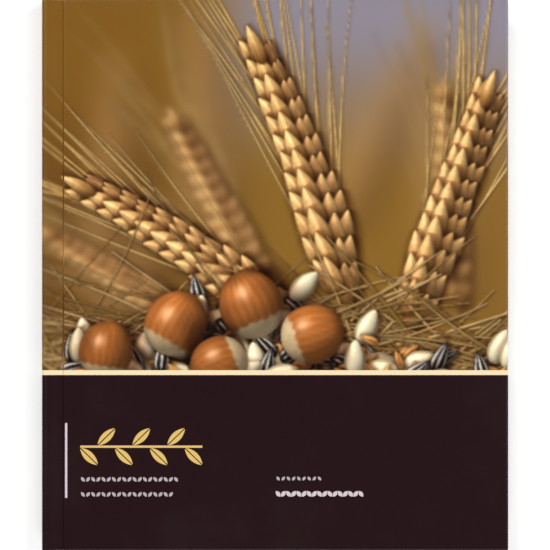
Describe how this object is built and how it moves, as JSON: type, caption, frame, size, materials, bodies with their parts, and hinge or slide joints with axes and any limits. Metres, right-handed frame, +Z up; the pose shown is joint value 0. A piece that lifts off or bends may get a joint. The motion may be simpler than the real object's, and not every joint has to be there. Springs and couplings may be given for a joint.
{
  "type": "hardback book",
  "caption": "Case-bound hardback book with a square spine, lying closed on its back cover; the front cover opens alone and the whole book opens flat at its middle.",
  "frame": {"origin": "on the surface the closed book lies on, under the middle of its outline", "axes": "+Y towards the head of the page, -X towards the spine, +Z up out of the front cover"},
  "size_m": [0.174, 0.206, 0.015],
  "materials": {
    "printed_front_cover": "greyboard covered with printed, film-laminated paper: picture area in ochre, ginger and cream over a dark aubergine panel",
    "printed_back_cover": "greyboard covered with printed, film-laminated paper: plain ochre area over a dark aubergine panel",
    "leaf_paper": "coated text paper, cut edges matt",
    "glued_back": "sewn and glued folds under a paper lining",
    "band_cotton": "striped woven cotton band"
  },
  "bodies": {
    "back_half": {"back_board": "printed_back_cover", "back_joint": "printed_back_cover", "rear_section_1": "leaf_paper", "rear_section_2": "leaf_paper", "rear_section_3": "leaf_paper", "rear_section_4": "leaf_paper"},
    "spine": {"spine_board": "printed_back_cover", "bound_spine": "glued_back", "headband": "band_cotton", "tailband": "band_cotton"},
    "front_leaves": {"front_section_1": "leaf_paper", "front_section_2": "leaf_paper", "front_section_3": "leaf_paper", "front_section_4": "leaf_paper", "front_joint": "printed_front_cover"},
    "front_cover": {"front_board": "printed_front_cover"}
  },
  "joints": [
    {"name": "spine_hinge", "type": "hinge", "parent": "back_half", "child": "spine", "pos_m": [-0.08575, 0, 0.00125], "axis": [0, -1, 0], "range_deg": [0, 90]},
    {"name": "leaves_hinge", "type": "hinge", "parent": "spine", "child": "front_leaves", "pos_m": [-0.08575, 0, 0.01375], "axis": [0, -1, 0], "range_deg": [0, 90]},
    {"name": "cover_hinge", "type": "hinge", "parent": "front_leaves", "child": "front_cover", "pos_m": [-0.0818, 0, 0.0139], "axis": [0, -1, 0], "range_deg": [0, 135]}
  ]
}
